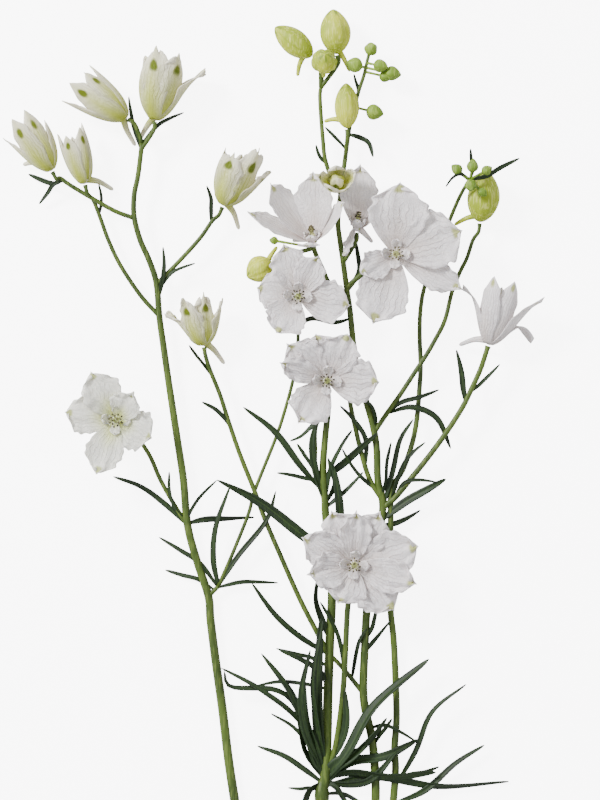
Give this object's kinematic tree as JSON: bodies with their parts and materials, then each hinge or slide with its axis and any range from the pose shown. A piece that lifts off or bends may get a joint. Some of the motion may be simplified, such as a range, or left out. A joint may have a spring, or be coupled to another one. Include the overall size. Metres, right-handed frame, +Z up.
{
  "type": "delphinium flower spike",
  "caption": "Loose, much-branched cut delphinium stalk with white open blooms, half-open blooms, green buds and narrow dark leaves, lying flat with a plain cut end.",
  "frame": {"origin": "flat spot under the swollen leaf node of the main stalk, on the surface the stalk lies on", "axes": "+Y along the main stalk from the cut end to the blooms, +Z up from the surface, towards the side the open blooms face, +X to the right seen from above with the blooms at the top"},
  "size_m": [0.2185, 0.4812, 0.024],
  "materials": {
    "leaf_green": "dark green leaf and stalk, satin",
    "petal_white": "white sepal with a faint lilac grey, thin and matte",
    "petal_cream": "white to yellow-green sepal, matte",
    "bud_green": "yellow-green bud, satin",
    "anther_dark": "dark olive-brown stamens, matte"
  },
  "bodies": {
    "root": {"leafy_stem": "leaf_green", "bloom_left": "petal_white", "bloom_low": "petal_white", "bloom_mid": "petal_white", "bloom_large": "petal_white", "bloom_inner": "petal_white", "bloom_upper": "petal_white", "bloom_right": "petal_white", "bloom_back": "petal_white", "bloom_left_heart": "anther_dark", "bloom_low_heart": "anther_dark", "bloom_mid_heart": "anther_dark", "bloom_large_heart": "anther_dark", "bloom_inner_heart": "anther_dark", "bloom_upper_heart": "anther_dark", "bloom_back_heart": "anther_dark", "cup_top_right": "petal_cream", "cup_top_left": "petal_cream", "cup_far_left": "petal_cream", "cup_near_left": "petal_cream", "cup_right": "petal_cream", "cup_middle": "petal_cream", "bud_top_right": "bud_green", "bud_top_left": "bud_green", "bud_top_front": "bud_green", "bud_spike": "bud_green", "bud_left": "bud_green", "bud_right": "bud_green", "cup_front": "petal_cream"}
  },
  "joints": []
}
